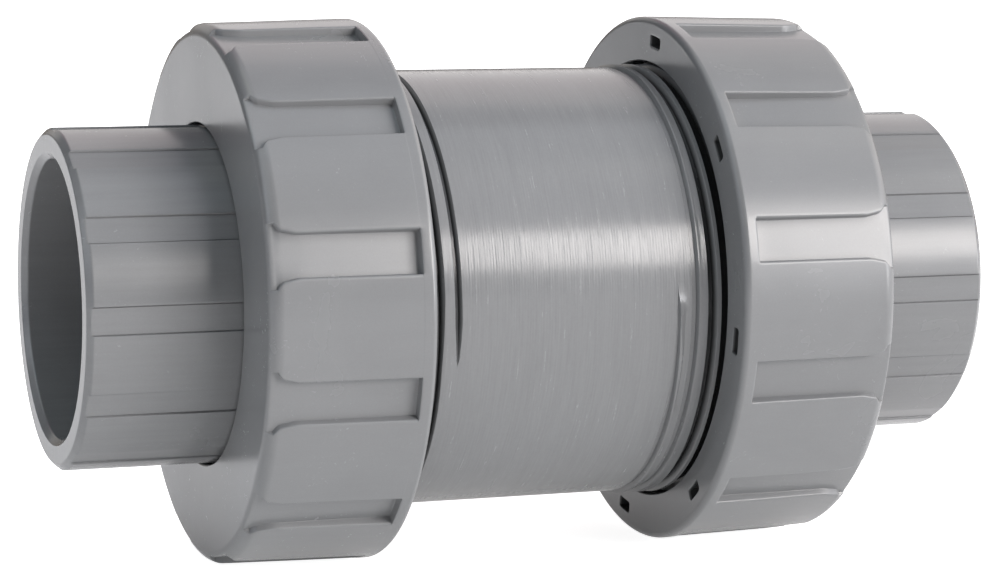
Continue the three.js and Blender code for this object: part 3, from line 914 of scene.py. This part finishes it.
def pocket_shade(n, x, radius, mouth):
    """A factor that darkens the inside of the blind pockets, which begin at mouth from the middle."""
    away = n.math("ABSOLUTE", x)
    inside = n.times(n.ramp(radius, POCKET.radius - 2.2, POCKET.radius - 1.7),
                     n.ramp(radius, POCKET.radius + 1.7, POCKET.radius + 2.2, low=1.0, high=0.0))
    sunk = n.times(n.ramp(away, mouth + 0.05, mouth + 0.6), n.ramp(away, 45.0, 46.0, low=1.0, high=0.0))
    return n.math("MULTIPLY_ADD", n.times(inside, sunk), -0.78, 1.0)


def moulded_plastic(name, value, rough, draw=0.0, mouth=None):
    """Injection-moulded rigid plastic: slight orange peel, cloudy gloss, draw marks and handling marks.
    draw is the strength of the draw marks, and mouth is where the blind pockets begin, if any."""
    n = new_material(name)
    point = n.point()
    x, y, z = n.split(point)
    cloud = n.noise(point, scale=0.045, detail=4.0, rough=0.55, distortion=0.6)
    peel = n.noise(point, scale=0.55, detail=2.0, rough=0.5)
    slow = n.noise(point, scale=0.09, detail=2.0, rough=0.5)
    speck = n.noise(point, scale=3.0, detail=2.0, rough=0.7)
    streak = n.noise(n.round_vector(n.times(x, 0.035), n.circle(y, z), stretch=26.0),
                     detail=4.0, rough=0.65)
    height = n.math("ADD", peel, n.times(slow, 3.0))
    height = n.math("ADD", height, n.times(streak, draw * 3.0))
    normal = n.bump(height, distance=0.004)

    tone = n.times(n.vary(cloud, amount=0.15),
                   n.times(n.vary(speck, amount=0.13), n.vary(streak, amount=0.06 + 0.12 * draw)))
    # thin scuffs of handling, along no direction in particular
    scuff = n.noise(point, scale=0.5, detail=6.0, rough=0.75, distortion=1.5)
    scuff = n.ramp(scuff, 0.60, 0.78, smooth=True)
    tone = n.times(tone, n.math("MULTIPLY_ADD", scuff, 0.10, 1.0))
    if mouth:
        tone = n.times(tone, pocket_shade(n, x, n.radius(y, z), mouth))
    gloss = n.times(n.math("MULTIPLY_ADD", scuff, 0.25, n.vary(cloud, amount=0.55)), rough)
    return n.surface(Base_Color=n.scaled(grey(value), tone), Roughness=gloss, Normal=normal,
                     IOR=PLASTIC_IOR)


def rubber(name):
    """Black rubber with a fine grain and a cloudy bloom."""
    n = new_material(name)
    point = n.point()
    grain = n.noise(point, scale=2.4, detail=4.0, rough=0.65)
    bloom = n.noise(point, scale=0.15, detail=3.0, rough=0.6)
    colour = n.mix(n.ramp(bloom, 0.35, 0.75), (0.017, 0.017, 0.018, 1), (0.034, 0.035, 0.037, 1))
    return n.surface(Base_Color=colour, Roughness=n.times(n.vary(bloom, amount=0.3), 0.55),
                     Normal=n.bump(grain, distance=0.012))


def polished_ball(name):
    """Plastic with faint polishing arcs round the axis."""
    n = new_material(name)
    point = n.point()
    x, y, z = n.split(point)
    place = n.vector(n.times(n.radius(y, z), 1.1), n.times(n.angle(y, z), 1.0), 0.0)
    arcs = n.noise(place, detail=4.0, rough=0.7, dimensions="2D")
    cloud = n.noise(point, scale=0.06, detail=3.0)
    tone = n.times(n.vary(cloud, amount=0.08), n.vary(arcs, amount=0.05))
    return n.surface(Base_Color=n.scaled(grey(0.145), tone),
                     Roughness=n.times(n.vary(arcs, amount=0.5), 0.24),
                     Normal=n.bump(arcs, distance=0.003), IOR=PLASTIC_IOR)


def floor_paper(name):
    """A faintly glowing sheet, as of backlit paper; the camera sees it a little brighter than the valve
    does."""
    n = new_material(name)
    fibre = n.noise(n.point(), scale=0.02, detail=3.0)
    camera_ray = n.new("ShaderNodeLightPath").outputs["Is Camera Ray"]
    glow = n.math("MULTIPLY_ADD", camera_ray, 0.55, 0.33)
    return n.surface(Base_Color=n.scaled((0.90, 0.90, 0.90), n.vary(fibre, amount=0.01)), Roughness=0.9,
                     Emission_Color=(1, 1, 1, 1), Emission_Strength=glow)


# ------------------------------------------------------------------ pieces
OUTER_GREY, INNER_GREY = 0.180, 0.155
# the body's colour carries painted shade in its thread grooves and in the shadow of the nuts
BODY_PLASTIC = turned_plastic("body_plastic", OUTER_GREY, rough=0.20, groove_shade=0.74)
CONNECTOR_PLASTIC = moulded_plastic("connector_plastic", OUTER_GREY, rough=0.25, draw=1.0)
INLET_NUT_PLASTIC = moulded_plastic("inlet_nut_plastic", OUTER_GREY, rough=0.25, mouth=INLET_NUT.mouth)
OUTLET_NUT_PLASTIC = moulded_plastic("outlet_nut_plastic", OUTER_GREY, rough=0.25,
                                     mouth=OUTLET_NUT.mouth)
INTERNAL_PLASTIC = turned_plastic("internal_plastic", INNER_GREY, rough=0.42)
BALL_PLASTIC = polished_ball("ball_plastic")
SEAL_RUBBER = rubber("seal_rubber")


def dress(ob, material, slot, node, body):
    ob.data.materials.clear()
    ob.data.materials.append(material)
    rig.slot(ob, slot)
    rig.replaces(ob, node)
    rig.ride(ob, body)


dress(make_body(), BODY_PLASTIC, "body_plastic", "valve_body", "body")
for end, side, seed in (("inlet", -1, 11), ("outlet", 1, 12)):
    dress(make_connector(end + "_connector_shell", side, seed), CONNECTOR_PLASTIC, "connector_plastic",
          end + "_end_connector", end + "_connector")
for end, nut, material in (("inlet", INLET_NUT, INLET_NUT_PLASTIC),
                           ("outlet", OUTLET_NUT, OUTLET_NUT_PLASTIC)):
    dress(make_nut(end + "_nut_shell", nut), material, "nut_plastic", end + "_union_nut", end + "_nut")
for end, side in (("inlet", -1), ("outlet", 1)):
    seal = make_seal(end + "_face_seal", side * FACE_SEAL.along, FACE_SEAL.radius, FACE_SEAL.section)
    dress(seal, SEAL_RUBBER, "seal_rubber", end + "_face_o_ring", "body")
dress(make_seal("carrier_seal", along=-45.4, radius=36.5, section=1.5), SEAL_RUBBER, "seal_rubber",
      "seat_carrier_o_ring", "body")
dress(make_turned("carrier_ring", CARRIER, sharp=30), INTERNAL_PLASTIC, "internal_plastic",
      "seat_carrier", "body")
dress(make_turned("seat_ring", SEAT, step=3.0), SEAL_RUBBER, "seal_rubber", "ball_seat", "body")
dress(make_ball(), BALL_PLASTIC, "ball_plastic", "ball", "check_ball")
dress(make_cage(), INTERNAL_PLASTIC, "internal_plastic", "ball_guide_cage", "body")


# ------------------------------------------------------------------ floor, light, camera
FLOOR_HALF, FLOOR_GAP = 30.0, 0.0002      # metres


def make_floor():
    mesh = bpy.data.meshes.new("floor")
    z = CAD_BOX[0][2] - FLOOR_GAP
    corners = [(x * FLOOR_HALF, y * FLOOR_HALF, z) for x, y in ((-1, -1), (1, -1), (1, 1), (-1, 1))]
    mesh.from_pydata(corners, [], [(0, 1, 2, 3)])
    ob = add_object("floor", mesh)
    mesh.materials.append(floor_paper("floor_paper"))
    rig.stage(ob)


# Soft light all round, as bands of height in degrees. Each band is cut into sectors, given by the azimuth
# where each begins (0 is the -Y side of the valve, growing towards +X, and a band goes once round from
# -161) and its level of red, green and blue. The large softbox begins at 19, on the +X side.
OFF = (0.0, 0.0, 0.0)
BAND_START = -161
SOFTBOX_START = 19
STUDIO_PEAK, STUDIO_GAIN = 16.0, 0.80     # the level that stands for full colour, and overall strength
HEIGHT_BLUR = 1.5
STUDIO = [
    (-4, 12, [
        (-161, OFF), (-101, (0.24, 0.26, 0.40)), (-71, OFF), (19, (1.6, 1.6, 1.65)),
        (33, (13.6, 13.6, 14.0)), (49, (4.40, 4.50, 4.65)), (79, (0.99, 0.96, 0.98)),
        (109, (0.35, 0.28, 0.25)), (139, (0.10, 0.08, 0.06)), (169, (0.34, 0.28, 0.22))]),
    (12, 29.5, [
        (-161, OFF), (-101, (1.80, 1.95, 2.15)), (-71, (0.30, 0.32, 0.36)), (-41, OFF),
        (19, (15.6, 15.0, 14.7)), (49, (4.29, 4.31, 4.54)), (79, (2.52, 2.40, 2.38)),
        (109, (1.26, 1.15, 1.08)), (139, (1.60, 1.52, 1.50)), (169, (0.98, 0.92, 0.86))]),
    (29.5, 60, [
        (-161, OFF), (-131, (0.55, 0.55, 0.60)), (-101, (1.70, 1.80, 1.90)), (-71, (1.05, 1.15, 1.20)),
        (-41, OFF), (19, (1.81, 1.83, 1.97)), (49, (3.30, 3.24, 3.19)), (79, (2.45, 2.28, 2.15)),
        (109, (1.42, 1.37, 1.37)), (139, (1.57, 1.41, 1.41)), (169, (0.42, 0.17, 0.24))]),
    (60, 95, [
        (-161, (1.52, 1.59, 1.50)), (-71, (0.97, 1.25, 1.45)), (19, (1.41, 1.46, 1.60)),
        (109, (0.53, 0.53, 0.62))]),
]


def sector_stops(sectors):
    """Colour stops (share of the way round, level); the softbox's first edge is crisper than the rest."""
    def blur(azimuth):
        return 1.5 if azimuth == SOFTBOX_START else 4.0
    ends = [azimuth for azimuth, level in sectors[1:]] + [BAND_START + 360]
    stops = []
    for (start, level), end in zip(sectors, ends):
        stops += [((start - BAND_START + blur(start)) / 360, level),
                  ((end - BAND_START - blur(end)) / 360, level)]
    return stops


def band_light(n, turn, height, low, high, sectors):
    node = n.new("ShaderNodeValToRGB")
    ramp = node.color_ramp
    ramp.interpolation = "LINEAR"
    stops = sector_stops(sectors)
    while len(ramp.elements) < len(stops):
        ramp.elements.new(0.5)
    for element, (position, level) in zip(ramp.elements, stops):
        element.position = position
        element.color = tuple(x / STUDIO_PEAK for x in level) + (1.0,)
    n.put(node.inputs[0], turn)
    within = n.times(
        n.ramp(height, low - HEIGHT_BLUR, low + HEIGHT_BLUR, smooth=True),
        n.ramp(height, high - HEIGHT_BLUR, high + HEIGHT_BLUR, low=1.0, high=0.0, smooth=True))
    return n.scaled(node.outputs[0], within)


def background(n, colour, strength):
    node = n.new("ShaderNodeBackground")
    n.put(node.inputs["Color"], colour)
    node.inputs["Strength"].default_value = strength
    return node.outputs[0]


def make_world():
    world = bpy.data.worlds.new("studio")
    bpy.context.scene.world = world
    n = Nodes(world)
    x, y, z = n.split(n.new("ShaderNodeTexCoord").outputs["Generated"])
    azimuth = n.times(n.math("ARCTAN2", x, n.times(y, -1.0)), 180 / math.pi)
    turn = n.math("DIVIDE", n.math("ADD", azimuth, float(-BAND_START)), 360.0)
    turn = n.math("FLOORED_MODULO", turn, 1.0)
    height = n.times(n.math("ARCSINE", z), 180 / math.pi)
    total = None
    for low, high, sectors in STUDIO:
        light = band_light(n, turn, height, low, high, sectors)
        if total is None:
            total = light
        else:
            add = n.new("ShaderNodeVectorMath", operation="ADD")
            n.put(add.inputs[0], total)
            n.put(add.inputs[1], light)
            total = add.outputs[0]
    # the camera itself sees one plain pale backdrop above the floor
    pick = n.new("ShaderNodeMixShader")
    n.put(pick.inputs[0], n.new("ShaderNodeLightPath").outputs["Is Camera Ray"])
    n.put(pick.inputs[1], background(n, total, STUDIO_PEAK * STUDIO_GAIN))
    n.put(pick.inputs[2], background(n, (1.0, 1.0, 1.0, 1.0), 1.3))
    n.put(n.new("ShaderNodeOutputWorld").inputs["Surface"], pick.outputs[0])


# place in metres, and the camera's own axes in the frame
CAMERA = Group(place=(-0.24451, -0.67783, 0.07466), right=(0.9407, -0.33924, 0.0),
               up=(0.03568, 0.09895, 0.99445), back=(-0.33736, -0.93548, 0.10519))


def make_camera():
    data = bpy.data.cameras.new("camera")
    camera = add_object("camera", data)
    data.lens, data.sensor_width, data.sensor_fit = 115.13, 36.0, "HORIZONTAL"
    data.clip_start, data.clip_end = 0.01, 100.0
    axes = Matrix((CAMERA.right, CAMERA.up, CAMERA.back)).transposed().to_4x4()
    camera.matrix_world = Matrix.Translation(CAMERA.place) @ axes
    bpy.context.scene.camera = camera


make_floor()
make_world()
make_camera()
bpy.context.scene.view_settings.view_transform = "Standard"

NOW_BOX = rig.bounds()
# the work folder may be missing or closed to writing
try:
    with open("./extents.json", "w") as f:
        json.dump([[list(c) for c in CAD_BOX], [list(c) for c in NOW_BOX]], f)
except OSError:
    pass
